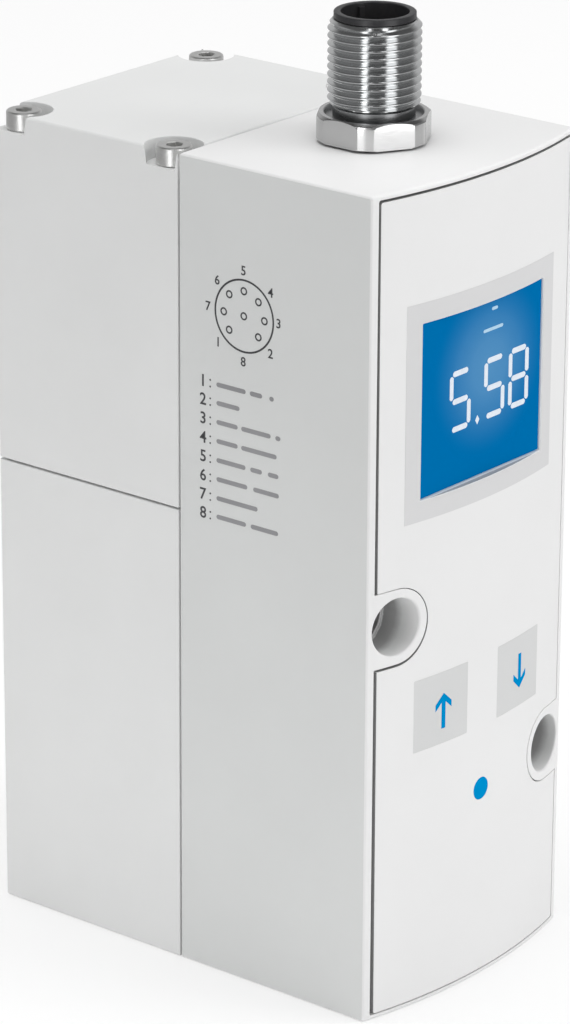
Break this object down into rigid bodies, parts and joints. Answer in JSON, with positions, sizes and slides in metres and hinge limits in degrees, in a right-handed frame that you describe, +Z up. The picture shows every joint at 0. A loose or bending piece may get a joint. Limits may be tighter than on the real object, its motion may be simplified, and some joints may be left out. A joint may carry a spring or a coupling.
{
  "type": "electro pneumatic regulator",
  "caption": "Upright pressure regulator block with a bulged display front, push keys, rear air ports and a round threaded plug on top.",
  "frame": {"origin": "middle of the footprint of the bounding box, on the flat base plane", "axes": "+X to the right seen from the front, -Y out of the display, +Y out of the manifold face, +Z up out of the round plug"},
  "size_m": [0.042, 0.0652, 0.1282],
  "materials": {
    "casing_grey": "light grey moulded plastic, fine satin grain",
    "cover_white": "near white moulded plastic, smooth satin",
    "key_grey": "light grey key faces, satin",
    "key_blue": "blue key dot, satin",
    "screen_blue": "lit blue display behind a clear face",
    "screw_steel": "plated steel socket screws",
    "plug_chrome": "nickel plated turned metal",
    "insert_black": "black contact carrier",
    "pin_gold": "gold plated contacts",
    "seal_rubber": "black sealing rubber",
    "mat_silicone": "grey switch mat",
    "board_green": "green lacquered circuit board",
    "backlight_milky": "milky light guide",
    "spool_alloy": "turned light alloy",
    "coil_black": "black moulded winding",
    "core_steel": "turned magnetic steel",
    "pilot_resin": "dark grey moulded plate",
    "spring_steel": "drawn spring wire",
    "sensor_ceramic": "pale ceramic sensor body"
  },
  "bodies": {
    "housing": {"valve_body": "casing_grey", "pilot_block": "casing_grey", "head_housing": "casing_grey", "front_cover": "cover_white", "display_panel": "screen_blue", "backlight": "backlight_milky", "keypad_mat": "mat_silicone", "display_board": "board_green", "main_board": "board_green", "pressure_sensor": "sensor_ceramic", "cover_screw_1": "screw_steel", "cover_screw_2": "screw_steel", "cover_screw_3": "screw_steel", "cover_screw_4": "screw_steel", "plug_shell": "plug_chrome", "plug_insert": "insert_black", "plug_nut": "spool_alloy", "spool_spring": "spring_steel", "base_plug": "spool_alloy", "pilot_plate": "pilot_resin", "pilot_coil_1": "coil_black", "pilot_coil_2": "coil_black", "pilot_core_1": "core_steel", "pilot_core_2": "core_steel", "pilot_spring_1": "spring_steel", "pilot_spring_2": "spring_steel", "port_seal_1": "seal_rubber", "port_seal_2": "seal_rubber", "port_seal_3": "seal_rubber", "block_seal": "seal_rubber", "base_plug_seal": "seal_rubber", "sensor_seal": "seal_rubber", "plug_seal": "seal_rubber", "contact_pin_1": "pin_gold", "contact_pin_2": "pin_gold", "contact_pin_3": "pin_gold", "contact_pin_4": "pin_gold", "contact_pin_5": "pin_gold", "contact_pin_6": "pin_gold", "contact_pin_7": "pin_gold", "contact_pin_8": "pin_gold"},
    "up_key": {"up_key": "key_grey"},
    "down_key": {"down_key": "key_grey"},
    "edit_key": {"edit_key": "key_blue"},
    "spool_unit": {"spool": "spool_alloy", "piston": "spool_alloy", "piston_ring": "seal_rubber"},
    "armature_1": {"pilot_armature_1": "core_steel"},
    "armature_2": {"pilot_armature_2": "core_steel"}
  },
  "joints": [
    {"name": "up_key_press", "type": "slide", "parent": "housing", "child": "up_key", "axis": [0, 1, 0], "range_m": [0, 0.0004], "stiffness_N_per_m": 1500, "springref_m": -0.0005},
    {"name": "down_key_press", "type": "slide", "parent": "housing", "child": "down_key", "axis": [0, 1, 0], "range_m": [0, 0.0004], "stiffness_N_per_m": 1500, "springref_m": -0.0005},
    {"name": "edit_key_press", "type": "slide", "parent": "housing", "child": "edit_key", "axis": [0, 1, 0], "range_m": [0, 0.0004], "stiffness_N_per_m": 1500, "springref_m": -0.0005},
    {"name": "spool_slide", "type": "slide", "parent": "housing", "child": "spool_unit", "axis": [0, 0, 1], "range_m": [-0.0012, 0.0012], "stiffness_N_per_m": 1500, "springref_m": 0.00008, "deforming": ["spool_spring"]},
    {"name": "armature_1_lift", "type": "slide", "parent": "housing", "child": "armature_1", "axis": [0, 0, 1], "range_m": [0, 0.0005], "stiffness_N_per_m": 600, "springref_m": -0.001, "deforming": ["pilot_spring_1"]},
    {"name": "armature_2_lift", "type": "slide", "parent": "housing", "child": "armature_2", "axis": [0, 0, 1], "range_m": [0, 0.0005], "stiffness_N_per_m": 600, "springref_m": -0.001, "deforming": ["pilot_spring_2"]}
  ]
}
